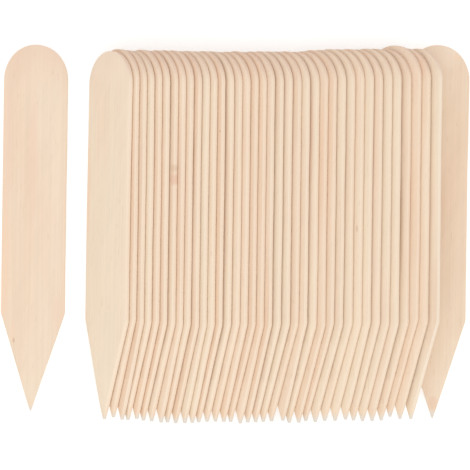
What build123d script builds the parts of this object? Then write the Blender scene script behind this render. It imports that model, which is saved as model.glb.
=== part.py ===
from build123d import *
import os
from math import asin, atan2, cos, degrees, hypot, radians, sin, tan

# Thirty-nine die-cut birch stakes for plant labels, in millimetres and degrees.
# One lies by itself, and thirty-seven lean in a row on a last one that lies flat.
# X runs along the row, Y from the points to the rounded heads, and Z is up.
# The origin is under the middle of the whole set.

# One stake
stake_length = 115.4
stake_width = 20.0
stake_thickness = 1.6
point_length = 30.8
point_land = 0.05
shoulder_radius = 4.0
edge_radius = 0.15

# The head is two arcs a side, the crown's radius a share of half the width
crown_radius_share = 0.94
crown_turn = 50.0

# The row: its first stake stands steepest, and each next one leans further over
first_lean = 51.5
last_lean = 38.3
lean_nudge = 1.0
slip = 1.0
extra_length = 1.0
air_gap = 0.2

# Each stake of the row from left to right: how much steeper than the row's even fall
lean_nudge_shares = (
    -2.1, -0.8, -0.5, -0.1, -0.1, 0.3, -0.2, 0.2, 0.5, 0.4, 0.6, 0.9, 1.2,
    0.2, 0.2, 0.5, 0.7, 0.9, 1.3, 0.6, 0.0, -0.3, 0.2, -0.9, -0.4,
    0.0, -0.2, -0.7, 0.1, 0.8, 0.3, 0.0, 0.1, -1.3, -0.6, -0.1, 3.4,
)

# Each stake of the row from left to right: how far its point has slipped towards its head
slip_shares = (
    0.0, 0.7, 0.0, -0.1, 0.3, -0.2, -0.4, -0.7, -0.7, -0.9, -0.8, -0.7, -0.5,
    -0.3, -0.2, -0.3, -0.3, -0.7, -0.4, -0.3, -0.2, 0.0, 0.3, -0.4, -0.3,
    0.2, -0.1, 0.3, 0.4, 0.9, 0.6, 0.4, 0.5, 0.7, 1.9, 1.2, 1.2,
)

# Each stake of the row from left to right: how much longer than the lone stake at its head
extra_length_shares = (
    -0.3, -0.3, 0.1, 0.0, 0.0, 0.2, 0.6, 0.9, 0.9, 0.9, 0.9, 0.7, 0.6,
    0.4, 0.1, 0.3, 0.5, 0.7, 0.6, 0.6, 0.5, 0.3, 0.1, 0.7, 0.8,
    0.7, 1.1, 1.0, 0.9, 0.5, 0.7, 1.2, 1.1, 0.8, 0.8, 0.7, 0.6,
)

# The stake under the end of the row
flat_stake_length = 117.6
flat_stake_width = 20.35
flat_stake_slip = 2.3
flat_stake_gap = 0.95

# The stake by itself
lone_stake_gap = 6.6
lone_stake_slip = 1.9

# Worked out from the sizes above
row_count = len(lean_nudge_shares)
core_width = stake_width - 2 * edge_radius
core_thickness = stake_thickness - 2 * edge_radius


def half_outline(length, width):
    """Right half of a stake's outline, from the middle of the head to the point."""
    half_width = width / 2
    head_y = length / 2
    point_y = -length / 2
    shoulder_y = point_y + point_length
    point_radius = edge_radius + point_land

    crown_radius = crown_radius_share * half_width
    crown = JernArc((0, head_y), (1, 0), crown_radius, -crown_turn)

    # The flank arc takes up what is left of the quarter turn and of the width
    flank_radius = (half_width - (crown @ 1).X) / (1 - sin(radians(crown_turn)))
    flank = JernArc(crown @ 1, crown % 1, flank_radius, crown_turn - 90)

    # The point's side runs from the shoulder to a small round at the tip
    rise = point_length - point_radius
    half_angle = atan2(half_width, rise) - asin(point_radius / hypot(half_width, rise))
    shoulder_reach = shoulder_radius * tan(half_angle / 2)
    side = Line(flank @ 1, (half_width, shoulder_y + shoulder_reach))
    shoulder = JernArc(side @ 1, (0, -1), shoulder_radius, -degrees(half_angle))
    tip_start = (point_radius * cos(half_angle), point_y + point_radius * (1 - sin(half_angle)))
    taper = Line(shoulder @ 1, tip_start)
    tip = JernArc(taper @ 1, taper % 1, point_radius, degrees(half_angle) - 90)
    return [crown, flank, side, shoulder, taper, tip]


def stake(length, width):
    """One stake lying flat on its broad face, its middle over the origin."""
    right = Curve() + half_outline(length, width)
    left = mirror(right, about=Plane.YZ)
    blank = extrude(make_face(right + left), amount=stake_thickness)
    broad_faces = blank.faces().filter_by(Axis.Z)
    return fillet(broad_faces.edges(), radius=edge_radius)


def lean_angle(index):
    """How steeply one stake of the row leans, from its place in the row."""
    progress = index / (row_count - 1)
    even_lean = first_lean + (last_lean - first_lean) * progress
    return even_lean + lean_nudge * lean_nudge_shares[index]


def foot_place(next_x, next_lean, lean, gap):
    """Where a stake's foot stands so that it clears the next stake's two upper edges by a gap.

    Places are those of the centre of the foot's lower rounded edge.
    """
    foot_edge_x = next_x - core_thickness * sin(next_lean)
    foot_edge_z = edge_radius + core_thickness * cos(next_lean)
    top_edge_x = foot_edge_x + core_width * cos(next_lean)
    top_edge_z = foot_edge_z + core_width * sin(next_lean)
    clearance = 2 * edge_radius + gap
    behind_foot = foot_edge_x - (clearance + (foot_edge_z - edge_radius) * cos(lean)) / sin(lean)
    behind_top = top_edge_x - (clearance + (top_edge_z - edge_radius) * cos(lean)) / sin(lean)
    return min(behind_foot, behind_top)


def row_places():
    """Foot place and lean of each stake of the row, left to right, from the flat stake back."""
    places = []
    foot_x = 0
    lean = 0
    gap = flat_stake_gap
    for index in reversed(range(row_count)):
        next_lean = lean
        lean = radians(lean_angle(index))
        foot_x = foot_place(foot_x, next_lean, lean, gap)
        gap = air_gap
        places.insert(0, (foot_x, lean))
    return places


def leaning(solid, foot_x, lean, slip_y):
    """Set a flat stake on its left long edge, leaning over to the right."""
    on_edge = Rot(0, -degrees(lean), 0) * Pos(core_width / 2, 0, -edge_radius) * solid
    return Pos(foot_x, slip_y, edge_radius) * on_edge


places = row_places()
pieces = {}

# The row, left to right, each stake slid so that a longer one only reaches further at its head
for index, (foot_x, lean) in enumerate(places):
    name = f"row_stake_{index + 1:02d}"
    extra = extra_length * extra_length_shares[index]
    slip_y = slip * slip_shares[index] + extra / 2
    pieces[name] = leaning(stake(stake_length + extra, stake_width), foot_x, lean, slip_y)

# The flat stake, under the last of the row
flat_x = flat_stake_width / 2 - edge_radius
flat_stake = stake(flat_stake_length, flat_stake_width)
pieces["flat_stake"] = Pos(flat_x, flat_stake_slip, 0) * flat_stake

# The lone stake, to the left of the row's first edge
first_x, first_angle = places[0]
row_left = first_x - core_thickness * sin(first_angle) - edge_radius
lone_x = row_left - lone_stake_gap - stake_width / 2
lone_stake = stake(stake_length, stake_width)
pieces["lone_stake"] = Pos(lone_x, lone_stake_slip, 0) * lone_stake

# Bring the middle of the set's underside to the origin
box = Compound(list(pieces.values())).bounding_box()
to_origin = Pos(-box.center().X, -box.center().Y, -box.min.Z)

os.makedirs("parts", exist_ok=True)
for name, piece in pieces.items():
    export_step(to_origin * piece, f"parts/{name}.step")

print(f"set {box.size.X:.2f} x {box.size.Y:.2f} x {box.size.Z:.2f}")
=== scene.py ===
"""Looks of a set of birch plant label stakes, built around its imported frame.

The set is one stake lying by itself and a row of stakes that lean on a last flat one.
Each stake is a die-cut blank with worn edges, slightly uneven sides and its own wood.
"""

import logging
import math
from contextlib import contextmanager
from dataclasses import dataclass, field
from enum import Enum
from typing import Iterator

import bpy
from mathutils import Matrix, Vector


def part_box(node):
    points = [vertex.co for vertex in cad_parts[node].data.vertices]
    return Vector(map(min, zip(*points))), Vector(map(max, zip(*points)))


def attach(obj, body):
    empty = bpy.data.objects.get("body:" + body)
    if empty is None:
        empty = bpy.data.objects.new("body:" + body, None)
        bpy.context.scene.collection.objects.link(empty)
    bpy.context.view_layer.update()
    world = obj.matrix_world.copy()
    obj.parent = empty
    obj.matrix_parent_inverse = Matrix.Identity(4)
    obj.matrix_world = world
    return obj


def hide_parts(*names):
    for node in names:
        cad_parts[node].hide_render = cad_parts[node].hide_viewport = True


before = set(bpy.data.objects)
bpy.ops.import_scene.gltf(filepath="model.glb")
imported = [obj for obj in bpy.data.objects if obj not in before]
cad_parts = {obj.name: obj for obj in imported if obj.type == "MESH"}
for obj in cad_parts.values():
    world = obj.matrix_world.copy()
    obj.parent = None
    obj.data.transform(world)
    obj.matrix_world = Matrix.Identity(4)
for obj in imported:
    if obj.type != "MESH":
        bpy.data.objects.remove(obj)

LOG = logging.getLogger("stakes")
MILLIMETRE = 0.001
PHOTO_PIXELS = 470
SHEET_PITCH = 60.0 * MILLIMETRE
WELD_DISTANCE = 1e-6

Colour = tuple[float, float, float]
Waves = tuple[float, float, float]
Socket = bpy.types.NodeSocket


class Grain(Enum):
    """Attributes that carry a stake's wood to its material, with the painted highlight of its cut edge and
    the painted shade of its end grain.
    """

    SHEET = "sheet_place"
    TONE = "stake_tone"
    # mask of the cut edge, which carries a painted highlight besides the edge's own colour
    RIM_AND_HIGHLIGHT = "cut_rim"
    # mask of the end grain, which carries painted shade besides the end grain's own colour
    END = "end_grain"


class Tone(Enum):
    """The wood that a stake was cut from, from rose through plain to cream."""

    ROSE = -1.3
    PINK = -0.7
    PLAIN = 0.0
    CREAM = 1.0


@dataclass(frozen=True)
class StakeCut:
    """The die's shape, in metres.

    Args:
        length: from the top of the head to the point.
        width: across the straight sides.
        thickness: of the veneer.
        point_length: of the taper, from the shoulders to the point.
        point_land: half of the tip's flat.
        shoulder_radius: where the straight sides turn into the taper.
        edge_radius: of both worn rims.
        crown_radius_share: radius of the crown, as a share of half the width.
        crown_turn: how far the crown turns before the flank takes over, in radians.
    """

    length: float
    width: float
    thickness: float
    point_length: float = 30.8 * MILLIMETRE
    point_land: float = 0.05 * MILLIMETRE
    shoulder_radius: float = 4.0 * MILLIMETRE
    edge_radius: float = 0.15 * MILLIMETRE
    crown_radius_share: float = 0.94
    crown_turn: float = math.radians(50)

    @property
    def half_width(self) -> float:
        """Half of the width across the straight sides."""
        return self.width / 2

    @property
    def head_y(self) -> float:
        """Where the top of the head is along the stake."""
        return self.length / 2

    @property
    def point_y(self) -> float:
        """Where the point ends along the stake."""
        return -self.length / 2

    @property
    def shoulder_y(self) -> float:
        """Where the taper starts along the stake."""
        return self.point_y + self.point_length

    @property
    def point_radius(self) -> float:
        """Radius of the blunt tip."""
        return self.edge_radius + self.point_land

    @property
    def point_half_angle(self) -> float:
        """Angle between a side of the point and the stake's long axis."""
        rise = self.point_length - self.point_radius
        reach = math.hypot(self.half_width, rise)
        return math.atan2(self.half_width, rise) - math.asin(self.point_radius / reach)


@contextmanager
def editing(piece: bpy.types.Object) -> Iterator[None]:
    """Edit one piece alone.

    Args:
        piece: the mesh object to edit.
    """
    bpy.ops.object.select_all(action="DESELECT")
    piece.select_set(True)
    bpy.context.view_layer.objects.active = piece
    bpy.ops.object.mode_set(mode="EDIT")
    try:
        yield
    finally:
        bpy.ops.object.mode_set(mode="OBJECT")
        piece.select_set(False)


def apply_modifier(piece: bpy.types.Object, kind: str, **settings: object) -> None:
    """Add one modifier to a piece and apply it.

    Args:
        piece: the mesh object.
        kind: Blender's name for the modifier's type.
        settings: the modifier's properties.
    """
    modifier = piece.modifiers.new(kind.title(), kind)
    for name, value in settings.items():
        setattr(modifier, name, value)
    bpy.context.view_layer.objects.active = piece
    bpy.ops.object.modifier_apply(modifier=modifier.name)


def select_end(piece: bpy.types.Object, end: float, grip: float) -> None:
    """Select the points at one end of a piece.

    Args:
        piece: the mesh object, lying along Y.
        end: where that end is along Y, in metres.
        grip: how far from it points are taken, in metres.
    """
    with editing(piece):
        bpy.ops.mesh.select_all(action="DESELECT")
    for vertex in piece.data.vertices:
        vertex.select = abs(vertex.co.y - end) < grip


def smooth_step(value: float) -> float:
    """A soft ramp from 0 to 1.

    Args:
        value: the place on the ramp, clamped to 0 and 1.

    Returns:
        The height of the ramp there.
    """
    held = min(max(value, 0.0), 1.0)
    return held * held * (3.0 - 2.0 * held)


@dataclass
class StakeBlank:
    """One die-cut blank, lying flat with its middle over the origin.

    Args:
        cut: the die's shape.
        crown_steps: points along half of the crown.
        flank_steps: points between the crown and a straight side.
        shoulder_steps: points round a shoulder.
        tip_steps: points round half of the tip.
        rim_segments: faces across a worn rim.
        rim_angle: how sharp an edge has to be to wear round, in radians.
        smooth_angle: how sharp an edge may be and still shade smooth, in radians.
        point_cuts: how many finer cuts across the point there are.
        point_cut_pitch: between those, in metres.
        point_wear: thickness that is left at the point, as a share.
        point_wear_reach: how far up from the point it is worn, in metres.
        cross_cut_pitch: between the other cuts across, in metres.
        long_cut_shares: where the cuts along it are, as shares of half the width.
    """

    cut: StakeCut
    crown_steps: int = 12
    flank_steps: int = 9
    shoulder_steps: int = 3
    tip_steps: int = 5
    rim_segments: int = 3
    rim_angle: float = math.radians(60)
    smooth_angle: float = math.radians(40)
    point_cuts: int = 5
    point_cut_pitch: float = 0.9 * MILLIMETRE
    point_wear: float = 0.72
    point_wear_reach: float = 5.0 * MILLIMETRE
    cross_cut_pitch: float = 3.0 * MILLIMETRE
    long_cut_shares: tuple[float, ...] = (-0.75, -0.4, 0.0, 0.4, 0.75)

    def build(self, name: str) -> bpy.types.Object:
        """Model the blank.

        Args:
            name: the new object's name.

        Returns:
            A closed mesh object with rounded rims and enough cuts to bend.
        """
        blank = self._first_point(name)
        with editing(blank):
            bpy.ops.mesh.select_all(action="SELECT")
            bpy.ops.mesh.merge(type="CENTER")
            self._trace_right_side()
        apply_modifier(blank, "MIRROR", use_axis=(True, False, False), merge_threshold=WELD_DISTANCE)
        with editing(blank):
            self._give_thickness()
            self._round_rims()
            self._cut_across()
        bpy.ops.object.select_all(action="DESELECT")
        blank.select_set(True)
        bpy.ops.object.shade_smooth_by_angle(angle=self.smooth_angle)
        blank.select_set(False)
        self._mark_rim(blank)
        self._wear_point(blank)
        return blank

    def _first_point(self, name: str) -> bpy.types.Object:
        """Start from a speck at the top of the head."""
        bpy.ops.object.select_all(action="DESELECT")
        place = (0.0, self.cut.head_y, 0.0)
        bpy.ops.mesh.primitive_circle_add(vertices=3, radius=self.cut.point_land, location=place)
        blank = bpy.context.object
        blank.name = name
        bpy.ops.object.transform_apply(location=True, rotation=True, scale=True)
        return blank

    def _trace_right_side(self) -> None:
        """Draw the right half of the outline with arcs and straight runs."""
        cut = self.cut
        crown_radius = cut.crown_radius_share * cut.half_width
        crown_middle = Vector((0.0, cut.head_y - crown_radius, 0.0))
        self._arc(crown_middle, cut.crown_turn, self.crown_steps)

        way_out = Vector((math.sin(cut.crown_turn), math.cos(cut.crown_turn), 0.0))
        crown_end = crown_middle + way_out * crown_radius
        flank_radius = (cut.half_width - crown_end.x) / (1.0 - way_out.x)
        flank_middle = crown_end - way_out * flank_radius
        self._arc(flank_middle, math.pi / 2 - cut.crown_turn, self.flank_steps)

        half_angle = cut.point_half_angle
        shoulder_reach = cut.shoulder_radius * math.tan(half_angle / 2)
        shoulder_start = Vector((cut.half_width, cut.shoulder_y + shoulder_reach, 0.0))
        self._run(shoulder_start - Vector((cut.half_width, flank_middle.y, 0.0)))
        shoulder_middle = shoulder_start - Vector((cut.shoulder_radius, 0.0, 0.0))
        self._arc(shoulder_middle, half_angle, self.shoulder_steps)

        way_out = Vector((math.cos(half_angle), -math.sin(half_angle), 0.0))
        tip_middle = Vector((0.0, cut.point_y + cut.point_radius, 0.0))
        tip_start = tip_middle + way_out * cut.point_radius
        self._run(tip_start - (shoulder_middle + way_out * cut.shoulder_radius))
        self._arc(tip_middle, math.pi / 2 - half_angle, self.tip_steps)

    def _arc(self, middle: Vector, turn: float, steps: int) -> None:
        """Spin the outline's end clockwise about a middle."""
        bpy.ops.mesh.spin(steps=steps, angle=turn, center=middle, axis=(0.0, 0.0, 1.0))

    def _run(self, way: Vector) -> None:
        """Draw the outline's end along a straight run."""
        bpy.ops.mesh.extrude_region_move(TRANSFORM_OT_translate={"value": way})

    def _give_thickness(self) -> None:
        """Fill the outline and raise it to the veneer's thickness."""
        bpy.ops.mesh.select_all(action="SELECT")
        bpy.ops.mesh.remove_doubles(threshold=WELD_DISTANCE)
        bpy.ops.mesh.edge_face_add()
        rise = (0.0, 0.0, self.cut.thickness)
        bpy.ops.mesh.extrude_region_move(TRANSFORM_OT_translate={"value": rise})
        bpy.ops.mesh.select_all(action="SELECT")
        bpy.ops.mesh.normals_make_consistent(inside=False)

    def _round_rims(self) -> None:
        """Wear both rims round, all the way about the stake."""
        bpy.ops.mesh.select_all(action="DESELECT")
        bpy.ops.mesh.select_mode(type="EDGE")
        bpy.ops.mesh.edges_select_sharp(sharpness=self.rim_angle)
        bpy.ops.mesh.bevel(
            offset=self.cut.edge_radius, segments=self.rim_segments, affect="EDGES", clamp_overlap=False
        )
        bpy.ops.mesh.select_mode(type="VERT")

    def _cut_across(self) -> None:
        """Bisect the blank across and along, so that it can bend."""
        cut = self.cut
        first = cut.point_y + self.point_cuts * self.point_cut_pitch
        rows = int((cut.head_y - first) / self.cross_cut_pitch)
        places = [cut.point_y + row * self.point_cut_pitch for row in range(1, self.point_cuts)]
        places += [first + row * self.cross_cut_pitch for row in range(rows)]
        for place in places:
            bpy.ops.mesh.select_all(action="SELECT")
            bpy.ops.mesh.bisect(plane_co=(0.0, place, 0.0), plane_no=(0.0, 1.0, 0.0))
        for share in self.long_cut_shares:
            bpy.ops.mesh.select_all(action="SELECT")
            bpy.ops.mesh.bisect(plane_co=(share * cut.half_width, 0.0, 0.0), plane_no=(1.0, 0.0, 0.0))

    def _mark_rim(self, blank: bpy.types.Object) -> None:
        """Tell the cut edge, and the head's end grain, from the broad faces with two attributes; besides
        their own colours, the material paints a highlight on the first and shade on the second.
        """
        edge = self.cut.edge_radius
        rims = blank.data.attributes.new(Grain.RIM_AND_HIGHLIGHT.value, "FLOAT", "POINT")
        ends = blank.data.attributes.new(Grain.END.value, "FLOAT", "POINT")
        for vertex, rim, end in zip(blank.data.vertices, rims.data, ends.data):
            depth = min(vertex.co.z, self.cut.thickness - vertex.co.z)
            # mask of the cut edge, which also carries its painted highlight
            rim.value = smooth_step(depth / edge)
            # mask of the end grain on points facing the head, which also carries its painted shade
            end.value = rim.value * smooth_step(vertex.normal.y)

    def _wear_point(self, blank: bpy.types.Object) -> None:
        """Thin the point towards its end, from both faces."""
        select_end(blank, self.cut.point_y, self.point_cut_pitch / 2)
        with editing(blank):
            bpy.ops.transform.resize(
                value=(1.0, 1.0, self.point_wear),
                center_override=(0.0, self.cut.point_y, self.cut.thickness / 2),
                use_proportional_edit=True,
                proportional_edit_falloff="SMOOTH",
                proportional_size=self.point_wear_reach,
            )


def lean_of(node: bpy.types.Object) -> float:
    """How steeply a stake leans, from the largest face of its solid.

    Args:
        node: the stake's solid.

    Returns:
        The angle between its broad face and the ground, in radians.
    """
    broadest = max(node.data.polygons, key=lambda face: face.area)
    normal = broadest.normal if broadest.normal.z > 0 else -broadest.normal
    return math.atan2(-normal.x, normal.z)


def row_number(node: str) -> int:
    """Where a stake stands in the row.

    Args:
        node: name of its solid.

    Returns:
        Its number from the left, or 0 for a stake outside the leaning row.
    """
    return int(node.rsplit("_", 1)[1]) if node.startswith("row_stake") else 0


@dataclass(frozen=True)
class Camber:
    """How a blank departs from the die: uneven sides and a slight bow.

    Args:
        side_stand: how much further out the free side stands than the die's, in metres.
        side_wave: how far the free side wanders, in metres.
        side_wave_size: length of that wander's waves, in metres.
        side_ripple: how far its shorter waves go, in metres.
        side_ripple_size: length of the shorter waves, in metres.
        bow: how far the broad faces rise and fall, in metres.
        bow_size: length of the faces' waves, in metres.
        bow_fade: how much less the faces bow at the sides than in the middle.
    """

    side_stand: float = 0.0
    side_wave: float = 0.34 * MILLIMETRE
    side_wave_size: float = 34.0 * MILLIMETRE
    side_ripple: float = 0.14 * MILLIMETRE
    side_ripple_size: float = 8.0 * MILLIMETRE
    bow: float = 0.07 * MILLIMETRE
    bow_size: float = 55.0 * MILLIMETRE
    bow_fade: float = 0.6

    def bend(self, piece: bpy.types.Object, cut: StakeCut) -> None:
        """Stand the free side of a flat blank out, and bend it with three smooth noises.

        Args:
            piece: the blank, lying where it was in its sheet of veneer.
            cut: the die's shape.
        """
        middle = sum(vertex.co.x for vertex in piece.data.vertices) / len(piece.data.vertices)
        free_side = piece.vertex_groups.new(name="free_side")
        inner = piece.vertex_groups.new(name="inner")
        for vertex in piece.data.vertices:
            across = (vertex.co.x - middle) / cut.half_width
            free_side.add([vertex.index], smooth_step(across), "REPLACE")
            inner.add([vertex.index], smooth_step(1.0 - abs(across) * self.bow_fade), "REPLACE")
        if self.side_stand:
            out = {"direction": "X", "vertex_group": "free_side", "strength": self.side_stand}
            apply_modifier(piece, "DISPLACE", mid_level=0.0, **out)
        self._wander(piece, "free_side", "X", self.side_wave, self.side_wave_size)
        self._wander(piece, "free_side", "X", self.side_ripple, self.side_ripple_size)
        self._wander(piece, "inner", "Z", self.bow, self.bow_size)
        piece.vertex_groups.clear()

    @staticmethod
    def _wander(piece: bpy.types.Object, group: str, way: str, reach: float, size: float) -> None:
        """Move a group of points one way by a smooth noise."""
        clouds = bpy.data.textures.new(f"{piece.name}_{way}", "CLOUDS")
        clouds.noise_scale = size
        clouds.noise_depth = 1
        apply_modifier(
            piece,
            "DISPLACE",
            texture=clouds,
            texture_coords="LOCAL",
            direction=way,
            vertex_group=group,
            strength=reach,
            mid_level=0.5,
        )
        bpy.data.textures.remove(clouds)


@dataclass(frozen=True)
class Sway:
    """How far a stake's ends stray sideways from its middle line.

    Args:
        point: at the point, in metres, positive to the right.
        head: at the head, in metres, positive to the right.
        point_reach: how far up the stake the point's sway is felt, in metres.
        head_reach: how far down the stake the head's sway is felt, in metres.
        grip: how near to an end its points are taken, in metres.
    """

    point: float = 0.0
    head: float = 0.0
    point_reach: float = 36.0 * MILLIMETRE
    head_reach: float = 70.0 * MILLIMETRE
    grip: float = 0.3 * MILLIMETRE

    def bend(self, piece: bpy.types.Object) -> None:
        """Drag both ends of a flat blank sideways, and less of it further in.

        Args:
            piece: the blank, lying flat along Y.
        """
        ends = [vertex.co.y for vertex in piece.data.vertices]
        if self.point:
            self._drag(piece, min(ends), self.point, self.point_reach)
        if self.head:
            self._drag(piece, max(ends), self.head, self.head_reach)

    def _drag(self, piece: bpy.types.Object, end: float, way: float, reach: float) -> None:
        """Move the vertices at one end, with proportional editing."""
        select_end(piece, end, self.grip)
        with editing(piece):
            bpy.ops.transform.translate(
                value=(way, 0.0, 0.0),
                use_proportional_edit=True,
                proportional_edit_falloff="SMOOTH",
                proportional_size=reach,
            )


@dataclass
class Stake:
    """One stake of the set, shaped from a blank and laid where its solid is.

    Args:
        node: name of the solid that it stands for, and of the body that it rides on.
        order: its place in the sheet of veneer.
        tone: the wood it is cut from.
        sway: how its ends stray sideways.
        camber: how its sides and faces depart from the die.
    """

    node: str
    order: int
    tone: Tone
    sway: Sway
    camber: Camber

    def build(self, blank: bpy.types.Object, cut: StakeCut, finish: bpy.types.Material) -> bpy.types.Object:
        """Copy the blank, give it its own wood and shape, and lay it in place.

        Args:
            blank: the flat blank to copy.
            cut: the die's shape.
            finish: the material of its wood.

        Returns:
            The finished piece.
        """
        piece = blank.copy()
        piece.data = blank.data.copy()
        piece.name = f"{self.node}_wood"
        bpy.context.scene.collection.objects.link(piece)
        in_sheet = Matrix.Translation((self.order * SHEET_PITCH, 0.0, 0.0))
        piece.data.transform(in_sheet)
        self._keep_wood(piece)
        self.camber.bend(piece, cut)
        piece.data.transform(in_sheet.inverted())
        self.sway.bend(piece)
        piece.data.transform(self._resting_place(cut))
        piece.data.materials.clear()
        piece.data.materials.append(finish)
        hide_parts(self.node)
        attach(piece, self.node)
        return piece

    def _keep_wood(self, piece: bpy.types.Object) -> None:
        """Keep the stake's tone and where each point was in the sheet, for its grain."""
        places = piece.data.attributes.new(Grain.SHEET.value, "FLOAT_VECTOR", "POINT")
        for vertex, place in zip(piece.data.vertices, places.data):
            place.vector = vertex.co
        tones = piece.data.attributes.new(Grain.TONE.value, "FLOAT", "POINT")
        for tone in tones.data:
            tone.value = self.tone.value

    def _resting_place(self, cut: StakeCut) -> Matrix:
        """The move from the flat blank to where the solid lies."""
        low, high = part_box(self.node)
        lean = lean_of(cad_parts[self.node])
        to_middle = Matrix.Translation((0.0, 0.0, -cut.thickness / 2))
        return Matrix.Translation((low + high) / 2) @ Matrix.Rotation(-lean, 4, "Y") @ to_middle


@dataclass(frozen=True)
class Spot:
    """One spot of colour on a stake: a knot, streak or stain in its wood, or a pale patch of painted light
    on a head that shade leaves dim.

    Args:
        stake: the name of the stake's solid.
        place: across from its middle line and along from its middle towards the head, in millimetres.
        size: half width and half length, in millimetres.
        colour: linear red, green and blue.
        depth: how strongly it shows, from 0 to 1.
    """

    stake: str
    place: tuple[float, float]
    size: tuple[float, float]
    colour: Colour
    depth: float


# Linear colours of the knots and stains, and of the painted light
BROWN = (0.45, 0.22, 0.12)
TAN = (0.62, 0.41, 0.25)
ORANGE = (0.92, 0.62, 0.38)
AMBER = (0.93, 0.66, 0.47)
BLUSH = (0.80, 0.52, 0.38)
ROSE = (0.90, 0.64, 0.50)
# painted light: a pale patch that brightens a head which shade leaves dim
PALE_PAINTED_LIGHT = (0.97, 0.81, 0.66)

SPOTS = (
    Spot("lone_stake", (-5.8, -35.4), (0.45, 1.1), BROWN, 0.5),
    Spot("lone_stake", (-6.1, -33.0), (0.7, 5.0), AMBER, 0.4),
    Spot("lone_stake", (-1.0, 53.0), (12.0, 13.0), ROSE, 0.22),
    Spot("lone_stake", (-8.8, 27.0), (2.4, 28.0), ROSE, 0.45),
    Spot("lone_stake", (-9.0, -10.0), (2.0, 25.0), AMBER, 0.5),
    Spot("lone_stake", (-0.4, 22.0), (1.8, 28.0), ROSE, 0.35),
    Spot("lone_stake", (7.8, -27.0), (2.0, 7.0), ROSE, 0.35),
    Spot("row_stake_01", (-6.4, 46.0), (3.2, 8.0), ROSE, 0.25),
    Spot("row_stake_01", (-9.2, 14.0), (1.3, 22.0), AMBER, 0.5),
    # painted light: a pale patch that brightens this head
    Spot("row_stake_01", (1.0, 55.0), (12.0, 10.0), PALE_PAINTED_LIGHT, 0.25),
    Spot("row_stake_07", (9.5, 21.0), (1.2, 1.6), TAN, 0.35),
    Spot("row_stake_07", (9.5, 17.6), (1.4, 2.4), BLUSH, 0.6),
    Spot("row_stake_10", (8.1, 21.0), (1.1, 16.0), TAN, 0.35),
    Spot("row_stake_13", (9.4, 32.8), (0.35, 0.6), BROWN, 0.4),
    Spot("row_stake_24", (8.1, 33.0), (1.0, 20.0), BLUSH, 0.4),
    Spot("row_stake_29", (8.9, 2.1), (0.55, 1.5), BROWN, 0.3),
    Spot("row_stake_34", (7.8, 3.0), (1.0, 18.0), TAN, 0.35),
    Spot("row_stake_36", (5.5, 51.5), (4.5, 6.0), BLUSH, 0.4),
    Spot("flat_stake", (5.9, 54.9), (1.5, 1.3), ORANGE, 0.4),
    # painted light: a pale patch that brightens this head, which lies in the row's shade
    Spot("flat_stake", (0.0, 57.0), (10.0, 8.0), PALE_PAINTED_LIGHT, 0.4),
    Spot("flat_stake", (-0.2, -5.0), (1.3, 16.0), ORANGE, 0.3),
    Spot("flat_stake", (0.1, -54.0), (2.0, 3.0), BLUSH, 0.4),
)


class NodeWriter:
    """Adds shader nodes to one material in short calls.

    Args:
        material: the material to write.
    """

    # Numbers of the inputs of a Mix node that mixes colours, and of its output
    MIX_FACTOR = 0
    MIX_FIRST = 6
    MIX_SECOND = 7
    MIX_RESULT = 2

    def __init__(self, material: bpy.types.Material) -> None:
        """Clear the material's nodes."""
        material.use_nodes = True
        self.tree = material.node_tree
        self.tree.nodes.clear()

    def node(
        self, kind: str, inputs: dict[str | int, object] | None = None, **settings: object
    ) -> bpy.types.Node:
        """Add one node.

        Args:
            kind: Blender's type name.
            inputs: values or sockets for its inputs, by name or number.
            settings: the node's own properties.

        Returns:
            The new node.
        """
        made = self.tree.nodes.new(kind)
        for name, value in settings.items():
            setattr(made, name, value)
        for name, value in (inputs or {}).items():
            socket = made.inputs[name]
            if isinstance(value, Socket):
                self.tree.links.new(value, socket)
            else:
                socket.default_value = value
        return made

    def math(self, operation: str, *values: object) -> Socket:
        """Add one Math node and return its result."""
        numbered = dict(enumerate(values))
        return self.node("ShaderNodeMath", numbered, operation=operation).outputs[0]

    def ramp(self, value: Socket, low: float, high: float, start: float, end: float) -> Socket:
        """Map a value smoothly from one range to another.

        Args:
            value: the value to map.
            low: where the ramp begins.
            high: where it ends.
            start: the result at and below low.
            end: the result at and above high.

        Returns:
            The mapped value.
        """
        inputs = {"Value": value, "From Min": low, "From Max": high, "To Min": start, "To Max": end}
        return self.node("ShaderNodeMapRange", inputs, interpolation_type="SMOOTHSTEP").outputs[0]

    def noise(self, place: Socket, waves: Waves, detail: float, roughness: float = 0.5) -> Socket:
        """Add a noise with its own number of waves a metre each way.

        Args:
            place: the coordinates, in metres.
            waves: waves a metre along X, Y and Z.
            detail: how many finer layers it has.
            roughness: how strong those are.

        Returns:
            The noise, about 0.5.
        """
        scaled = self.node("ShaderNodeMapping", {"Vector": place, "Scale": waves}, vector_type="POINT")
        inputs = {"Vector": scaled.outputs[0], "Scale": 1.0, "Detail": detail, "Roughness": roughness}
        return self.node("ShaderNodeTexNoise", inputs).outputs["Fac"]

    def shade(self, colour: Socket, light: Socket) -> Socket:
        """Multiply a colour by a grey light and return the result."""
        grey = self.node("ShaderNodeCombineXYZ", {0: light, 1: light, 2: light})
        return self.blend(1.0, colour, grey.outputs[0], "MULTIPLY")

    def blend(self, factor: object, first: object, second: object, blend_type: str = "MIX") -> Socket:
        """Mix two colours.

        Args:
            factor: how much of the second, as a number or socket.
            first: colour or socket.
            second: colour or socket.
            blend_type: Blender's name for the way they mix.

        Returns:
            The mixed colour.
        """
        mixer = self.tree.nodes.new("ShaderNodeMix")
        mixer.data_type = "RGBA"
        mixer.blend_type = blend_type
        numbered = {self.MIX_FACTOR: factor, self.MIX_FIRST: first, self.MIX_SECOND: second}
        for number, value in numbered.items():
            if isinstance(value, Socket):
                self.tree.links.new(value, mixer.inputs[number])
            else:
                mixer.inputs[number].default_value = value if number == self.MIX_FACTOR else (*value, 1.0)
        return mixer.outputs[self.MIX_RESULT]


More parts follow.
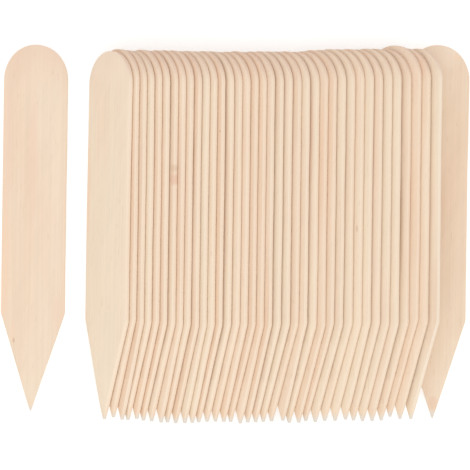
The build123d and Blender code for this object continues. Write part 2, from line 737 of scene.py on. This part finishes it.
@dataclass(frozen=True)
class BirchVeneer:
    """Bare sanded birch veneer, with fibres along the stake.

    Args:
        pale: linear colour of the early wood.
        warm: linear colour of the late wood.
        pink: linear colour that some stakes lean to.
        cream: linear colour that other stakes lean to.
        amber: linear colour of the left side and of the points.
        fleck: linear colour of the short brown dashes.
        tip: linear colour of the very end of a point.
        rim: linear colour of the cut edge along the fibres, paler partly for its own wood and partly as a
            painted highlight.
        end: linear colour of the cut edge across the fibres, darker partly for the end grain and partly as
            painted shade where the head's rim faces away from the lamp.
        head: linear colour, darker and warmer, that the faces turn to at the head.
        warm_share: how strongly the late wood shows.
        fleck_share: how strongly the dashes show.
        rim_and_highlight_share: how strongly the cut edge's colour, with its painted highlight, shows.
        end_and_shade_share: how strongly the end grain's colour, with its painted shade, shows.
        side_share: how much amber the left side has.
        point_share: how much amber the points have.
        head_share: how far the faces darken and warm at the head.
        tip_share: how grey the very end is.
        band_waves: of early and late wood, a metre across, along and through, as are the next ones.
        blotch_waves: of pink and cream blotches.
        fibre_waves: of the fine streaks.
        fibre_light: how dark and how light those get.
        figure_waves: of the figure over the fibres.
        figure_light: how dark and how light it gets.
        figure_turn: how far it is turned from the fibres, in radians.
        fleck_waves: of the dashes.
        pore_waves: of the finest relief.
        ridge_waves: of the broader relief.
        ridge_share: how strong the broader relief is against the finest.
        relief: how high the relief is, in metres.
        relief_strength: how much of it the light shows.
        dullness: roughness of the ridges and of the wood between them.
        specular: how strongly the wood mirrors light.
        blotch_tone: how far a blotch is from its stake's own tone.
        cream_share: how creamy the creamiest wood is.
        stake_spread: how much lighter or darker one stake may be than another.
        spot_core: how much of a knot, squared, has its full colour.
        side_x: where the left side is, in metres from the middle line.
        side_reach: how far in its amber goes, in metres.
        tip_y: where the points end, in metres from the middle.
        tip_reach: how far up the grey goes, in metres.
        point_reach: how far up the amber goes, in metres.
        head_y: where the faces are warmest, in metres from the middle.
        head_reach: how far down the warmth goes, in metres.
        spots: the knots and stains of single stakes, and the pale patches of painted light on two heads.
    """

    pale: Colour = (0.896, 0.726, 0.568)
    warm: Colour = (0.850, 0.650, 0.478)
    pink: Colour = (0.856, 0.640, 0.470)
    cream: Colour = (0.892, 0.752, 0.582)
    amber: Colour = (0.850, 0.610, 0.415)
    fleck: Colour = (0.560, 0.380, 0.240)
    tip: Colour = (0.780, 0.720, 0.645)
    rim: Colour = (0.935, 0.790, 0.636)
    end: Colour = (0.665, 0.442, 0.346)
    head: Colour = (0.800, 0.575, 0.440)
    warm_share: float = 0.7
    fleck_share: float = 0.22
    rim_and_highlight_share: float = 0.75
    end_and_shade_share: float = 0.62
    side_share: float = 0.3
    point_share: float = 0.3
    head_share: float = 0.33
    tip_share: float = 0.95
    band_waves: Waves = (160.0, 5.0, 160.0)
    blotch_waves: Waves = (110.0, 14.0, 110.0)
    fibre_waves: Waves = (1300.0, 18.0, 1300.0)
    fibre_light: tuple[float, float] = (0.972, 1.020)
    figure_waves: Waves = (420.0, 60.0, 420.0)
    figure_light: tuple[float, float] = (0.988, 1.006)
    figure_turn: float = math.radians(24)
    fleck_waves: Waves = (2200.0, 260.0, 2200.0)
    pore_waves: Waves = (5200.0, 160.0, 5200.0)
    ridge_waves: Waves = (900.0, 22.0, 900.0)
    ridge_share: float = 0.8
    relief: float = 0.03 * MILLIMETRE
    relief_strength: float = 0.3
    dullness: tuple[float, float] = (0.58, 0.72)
    specular: float = 0.3
    blotch_tone: float = 0.9
    cream_share: float = 0.75
    stake_spread: float = 0.012
    spot_core: float = 0.1
    side_x: float = -10.0 * MILLIMETRE
    side_reach: float = 1.0 * MILLIMETRE
    tip_y: float = -57.8 * MILLIMETRE
    tip_reach: float = 2.4 * MILLIMETRE
    point_reach: float = 6.0 * MILLIMETRE
    head_y: float = 57.0 * MILLIMETRE
    head_reach: float = 13.0 * MILLIMETRE
    spots: tuple[Spot, ...] = SPOTS

    def build(self) -> bpy.types.Material:
        """Write the veneer's nodes.

        Returns:
            The material that every stake wears.
        """
        material = bpy.data.materials.new("birch_veneer")
        write = NodeWriter(material)
        place = write.node("ShaderNodeAttribute", attribute_name=Grain.SHEET.value).outputs["Vector"]
        split = write.node("ShaderNodeSeparateXYZ", {"Vector": place})
        stake_number = write.math("ROUND", write.math("DIVIDE", split.outputs[0], SHEET_PITCH))
        chance = write.node("ShaderNodeTexWhiteNoise", {"W": stake_number}, noise_dimensions="1D")
        middle = write.math("MULTIPLY", stake_number, SHEET_PITCH)
        across = write.math("SUBTRACT", split.outputs[0], middle)

        colour = self._growth(write, place, chance.outputs["Value"])
        colour = self._fibres(write, place, colour)
        colour = self._figure(write, place, colour)
        colour = self._flecks(write, place, colour)
        colour = self._sides(write, across, split.outputs[1], colour)
        colour = self._spots(write, split, colour)
        colour = self._tips(write, split.outputs[1], colour)

        self._surface(write, place, colour)
        return material

    def _surface(self, write: NodeWriter, place: Socket, colour: Socket) -> None:
        """The shader, dull and with fine relief along the fibres."""
        pores = write.noise(place, self.pore_waves, 3.0, 0.6)
        ridges = write.noise(place, self.ridge_waves, 2.0)
        height = write.math("ADD", pores, write.math("MULTIPLY", ridges, self.ridge_share))
        relief = {"Strength": self.relief_strength, "Distance": self.relief, "Height": height}
        bump = write.node("ShaderNodeBump", relief)
        inputs = {
            "Base Color": colour,
            "Roughness": write.ramp(ridges, 0.3, 0.7, *self.dullness),
            "Normal": bump.outputs[0],
            "Specular IOR Level": self.specular,
        }
        shader = write.node("ShaderNodeBsdfPrincipled", inputs)
        write.node("ShaderNodeOutputMaterial", {"Surface": shader.outputs[0]})

    def _growth(self, write: NodeWriter, place: Socket, chance: Socket) -> Socket:
        """Broad bands of early and late wood, in each stake's own tone."""
        bands = write.noise(place, self.band_waves, 3.0)
        banded = write.blend(write.ramp(bands, 0.3, 0.8, 0.0, self.warm_share), self.pale, self.warm)
        tone = write.node("ShaderNodeAttribute", attribute_name=Grain.TONE.value).outputs["Fac"]
        blotches = write.noise(place, self.blotch_waves, 2.0)
        blotched = write.ramp(blotches, 0.3, 0.7, -self.blotch_tone, self.blotch_tone)
        toned = write.math("ADD", tone, blotched)
        pinked = write.blend(write.ramp(toned, 0.0, -2.0, 0.0, 1.0), banded, self.pink)
        creamed = write.blend(write.ramp(toned, 0.0, 1.3, 0.0, self.cream_share), pinked, self.cream)
        spread = write.ramp(chance, 0.0, 1.0, 1.0 - self.stake_spread, 1.0 + self.stake_spread)
        return write.shade(creamed, spread)

    def _fibres(self, write: NodeWriter, place: Socket, colour: Socket) -> Socket:
        """Fine streaks along the stake."""
        streaks = write.noise(place, self.fibre_waves, 4.0, 0.6)
        return write.shade(colour, write.ramp(streaks, 0.3, 0.7, *self.fibre_light))

    def _figure(self, write: NodeWriter, place: Socket, colour: Socket) -> Socket:
        """Faint figure that runs aslant over the fibres."""
        turned = write.node("ShaderNodeMapping", {"Vector": place, "Rotation": (0.0, 0.0, self.figure_turn)})
        figure = write.noise(turned.outputs[0], self.figure_waves, 2.0)
        return write.shade(colour, write.ramp(figure, 0.35, 0.7, *self.figure_light))

    def _flecks(self, write: NodeWriter, place: Socket, colour: Socket) -> Socket:
        """Short brown dashes, sparse and along the fibres."""
        dashes = write.noise(place, self.fleck_waves, 1.0)
        return write.blend(write.ramp(dashes, 0.66, 0.80, 0.0, self.fleck_share), colour, self.fleck)

    def _sides(self, write: NodeWriter, across: Socket, along: Socket, colour: Socket) -> Socket:
        """Pale side cuts with a painted highlight, darker end grain with painted shade, amber left sides and
        points, and darker, warmer heads.
        """
        rim = write.node("ShaderNodeAttribute", attribute_name=Grain.RIM_AND_HIGHLIGHT.value).outputs["Fac"]
        end = write.node("ShaderNodeAttribute", attribute_name=Grain.END.value).outputs["Fac"]
        # the cut edge is paler partly for its own wood and partly as a painted highlight
        paler = write.blend(write.math("MULTIPLY", rim, self.rim_and_highlight_share), colour, self.rim)
        # the head's end grain is darker partly for its own wood and partly as painted shade on the side away
        # from the lamp
        paler = write.blend(write.math("MULTIPLY", end, self.end_and_shade_share), paler, self.end)
        left = write.ramp(across, self.side_x, self.side_x + self.side_reach, self.side_share, 0.0)
        sided = write.blend(left, paler, self.amber)
        near_point = write.ramp(along, self.tip_y, self.tip_y + self.point_reach, self.point_share, 0.0)
        pointed = write.blend(near_point, sided, self.amber)
        # faces turn darker and warmer towards the head
        near_head = write.ramp(along, self.head_y - self.head_reach, self.head_y, 0.0, self.head_share)
        return write.blend(near_head, pointed, self.head)

    def _spots(self, write: NodeWriter, split: bpy.types.Node, colour: Socket) -> Socket:
        """The few knots and stains of single stakes, and the pale patches of painted light on two heads."""
        orders = sorted(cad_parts)
        for spot in self.spots:
            middle_x = orders.index(spot.stake) * SHEET_PITCH + spot.place[0] * MILLIMETRE
            off_x = write.math("SUBTRACT", split.outputs[0], middle_x)
            off_y = write.math("SUBTRACT", split.outputs[1], spot.place[1] * MILLIMETRE)
            near_x = write.math("DIVIDE", off_x, spot.size[0] * MILLIMETRE)
            near_y = write.math("DIVIDE", off_y, spot.size[1] * MILLIMETRE)
            square_x = write.math("MULTIPLY", near_x, near_x)
            square_y = write.math("MULTIPLY", near_y, near_y)
            away = write.math("ADD", square_x, square_y)
            colour = write.blend(write.ramp(away, self.spot_core, 1.0, spot.depth, 0.0), colour, spot.colour)
        return colour

    def _tips(self, write: NodeWriter, along: Socket, colour: Socket) -> Socket:
        """Points turned greyer at their very end."""
        greyed = write.ramp(along, self.tip_y, self.tip_y + self.tip_reach, self.tip_share, 0.0)
        return write.blend(greyed, colour, self.tip)


@dataclass(frozen=True)
class Studio:
    """A white table under soft light, seen from straight above.

    Args:
        camera_height: above the table, in metres.
        pixel: what one pixel of the photograph spans on the table, in metres.
        roll: how far the camera is turned, in radians.
        aim: where its middle looks, in metres.
        sensor: width of the camera's sensor, in metres.
        view_depth: how far the camera sees, in metres.
        table_half: half of the table's side, in metres.
        table_drop: how far the table lies below the set, in metres.
        table_colour: linear colour of the table under light.
        table_glow: light that the camera sees on top of it, so that it shows white.
        world_strength: of the room's even light.
        lamp_power: of the softbox, in watts.
        lamp_size: of the softbox, in metres.
        lamp_place: where the softbox hangs, in metres.
    """

    camera_height: float = 0.8519
    pixel: float = 0.3155 * MILLIMETRE
    roll: float = math.radians(0.73)
    aim: tuple[float, float] = (0.235 * MILLIMETRE, -0.76 * MILLIMETRE)
    sensor: float = 0.036
    view_depth: float = 100.0
    table_half: float = 3.0
    table_drop: float = 0.00002
    table_colour: Colour = (0.86, 0.86, 0.86)
    table_glow: float = 0.34
    world_strength: float = 0.912
    lamp_power: float = 2.6
    lamp_size: float = 0.9
    lamp_place: tuple[float, float, float] = (0.0, -0.8, 0.95)

    def build(self) -> None:
        """Set up the table, the light and the camera."""
        self._table()
        self._world()
        self._lamp()
        self._camera()
        bpy.context.scene.view_settings.view_transform = "Standard"

    def _table(self) -> None:
        """Lay the table, white to the camera but for the set's own shadow."""
        bpy.ops.object.select_all(action="DESELECT")
        place = (0.0, 0.0, -self.table_drop)
        bpy.ops.mesh.primitive_plane_add(size=2 * self.table_half, location=place)
        table = bpy.context.object
        table.name = "table"
        material = bpy.data.materials.new("white_table")
        write = NodeWriter(material)
        matt = write.node("ShaderNodeBsdfDiffuse", {"Color": (*self.table_colour, 1.0)})
        glow = write.node("ShaderNodeEmission", {"Strength": self.table_glow})
        lit = write.node("ShaderNodeAddShader", {0: matt.outputs[0], 1: glow.outputs[0]})
        rays = write.node("ShaderNodeLightPath")
        camera_or_gloss = write.math("MAXIMUM", rays.outputs["Is Camera Ray"], rays.outputs["Is Glossy Ray"])
        seen = write.math("MAXIMUM", camera_or_gloss, rays.outputs["Is Transmission Ray"])
        mixed = write.node("ShaderNodeMixShader", {0: seen, 1: matt.outputs[0], 2: lit.outputs[0]})
        write.node("ShaderNodeOutputMaterial", {"Surface": mixed.outputs[0]})
        table.data.materials.append(material)

    def _world(self) -> None:
        """Fill the room with even white light."""
        world = bpy.data.worlds.new("room")
        bpy.context.scene.world = world
        world.use_nodes = True
        background = world.node_tree.nodes["Background"]
        background.inputs["Color"].default_value = (1.0, 1.0, 1.0, 1.0)
        background.inputs["Strength"].default_value = self.world_strength

    def _lamp(self) -> None:
        """Hang one large soft lamp on the points' side."""
        data = bpy.data.lights.new("softbox", "AREA")
        data.shape = "DISK"
        data.size = self.lamp_size
        data.energy = self.lamp_power
        lamp = bpy.data.objects.new("softbox", data)
        bpy.context.scene.collection.objects.link(lamp)
        lamp.location = self.lamp_place
        lamp.rotation_euler = (-Vector(self.lamp_place)).to_track_quat("-Z", "Y").to_euler()

    def _camera(self) -> None:
        """Hold the camera straight above the set."""
        data = bpy.data.cameras.new("camera")
        data.sensor_width = self.sensor / MILLIMETRE
        data.lens = data.sensor_width * self.camera_height / (self.pixel * PHOTO_PIXELS)
        data.clip_end = self.view_depth
        camera = bpy.data.objects.new("camera", data)
        bpy.context.scene.collection.objects.link(camera)
        camera.location = (*self.aim, self.camera_height)
        camera.rotation_euler = (0.0, 0.0, self.roll)
        bpy.context.scene.camera = camera


CAMBERS = {
    "lone_stake": Camber(0.10 * MILLIMETRE, 0.16 * MILLIMETRE),
    "row_stake_01": Camber(0.2 * MILLIMETRE),
    "row_stake_37": Camber(-0.6 * MILLIMETRE),
    "flat_stake": Camber(-0.01 * MILLIMETRE, 0.12 * MILLIMETRE),
}


@dataclass
class StakeSet:
    """The lone stake, the leaning row and the flat stake at its end.

    Args:
        cream_row: the row's stakes of creamy wood, counted from the left.
        pink_row: the row's stakes of pinker wood.
        rose_row: the row's stakes of the pinkest wood.
        row_sway_shares: the row's stakes from the left, how far each point strays to the right.
        sway_step: how far a share of 1 goes, in metres.
        row_crown_share: radius of the row's crowns, as a share of half the width.
        first_head_sway: how far the row's first head strays to the right, in metres.
        lone_sway: how the lone stake's ends stray.
        flat_sway: how the flat stake's ends stray.
        cambers: how single stakes depart from the die, where they don't share the usual way.
    """

    cream_row: frozenset[int] = frozenset({1, 4, 11, 12, 14, 20, 21, 24, 27, 28, 29, 30, 32, 33, 37})
    pink_row: frozenset[int] = frozenset({2, 3, 5, 16, 17, 18, 19, 25, 26, 35})
    rose_row: frozenset[int] = frozenset({6, 8, 10, 13})
    row_sway_shares: tuple[float, ...] = (
        -0.5, -0.3, 0.4, -0.5, 0.1, -0.4, -0.2, 0.7, 0.1, 0.3, 0.9, 0.8, 0.2,
        0.2, 0.3, 0.5, 0.0, 0.7, 0.5, 0.2, -0.2, -0.3, 0.9, -0.2, 0.1,
        -0.5, -0.2, 0.0, 0.4, 0.9, 0.5, 0.5, 0.7, 0.5, 0.1, 0.3, -0.8,
    )
    sway_step: float = 1.0 * MILLIMETRE
    row_crown_share: float = 0.985
    first_head_sway: float = 0.6 * MILLIMETRE
    lone_sway: Sway = Sway(-0.35 * MILLIMETRE, 0.08 * MILLIMETRE)
    flat_sway: Sway = Sway(0.1 * MILLIMETRE, 0.38 * MILLIMETRE, head_reach=52.0 * MILLIMETRE)
    cambers: dict[str, Camber] = field(default_factory=lambda: dict(CAMBERS))

    def build(self, finish: bpy.types.Material) -> list[bpy.types.Object]:
        """Build every stake of the set.

        Args:
            finish: the material of the wood.

        Returns:
            The finished pieces.
        """
        blanks: dict[tuple[float, float, float], bpy.types.Object] = {}
        pieces = []
        for order, node in enumerate(sorted(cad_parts)):
            cut = self._cut_of(node)
            key = (round(cut.length, 5), round(cut.width, 5), cut.crown_radius_share)
            if key not in blanks:
                blanks[key] = StakeBlank(cut).build(f"blank_{len(blanks)}")
            camber = self.cambers.get(node, Camber())
            stake = Stake(node, order, self._tone_of(node), self._sway_of(node), camber)
            pieces.append(stake.build(blanks[key], cut, finish))
        for blank in blanks.values():
            bpy.data.objects.remove(blank)
        return pieces

    def _tone_of(self, node: str) -> Tone:
        """The wood of one stake."""
        number = row_number(node)
        if number in self.cream_row:
            return Tone.CREAM
        if number in self.rose_row:
            return Tone.ROSE
        return Tone.PINK if number in self.pink_row else Tone.PLAIN

    def _sway_of(self, node: str) -> Sway:
        """How one stake's ends stray."""
        number = row_number(node)
        if not number:
            return self.lone_sway if node == "lone_stake" else self.flat_sway
        head = self.first_head_sway if number == 1 else 0.0
        return Sway(self.row_sway_shares[number - 1] * self.sway_step, head)

    def _cut_of(self, node: str) -> StakeCut:
        """The die's sizes for one stake, from the frame, a leaning one as wide as the lone one."""
        leans = row_number(node) > 0
        low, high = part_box(node)
        flat_low, flat_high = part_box("lone_stake" if leans else node)
        sizes = (high.y - low.y, flat_high.x - flat_low.x, flat_high.z - flat_low.z)
        return StakeCut(*sizes, crown_radius_share=self.row_crown_share) if leans else StakeCut(*sizes)


def main() -> None:
    """Build the set and its studio."""
    logging.basicConfig(level=logging.INFO, format="%(message)s")
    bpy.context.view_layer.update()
    finish = BirchVeneer().build()
    for piece in StakeSet().build(finish):
        LOG.info("%s ready", piece.name)
    Studio().build()
    LOG.info("studio ready")


if __name__ == "__main__":
    main()
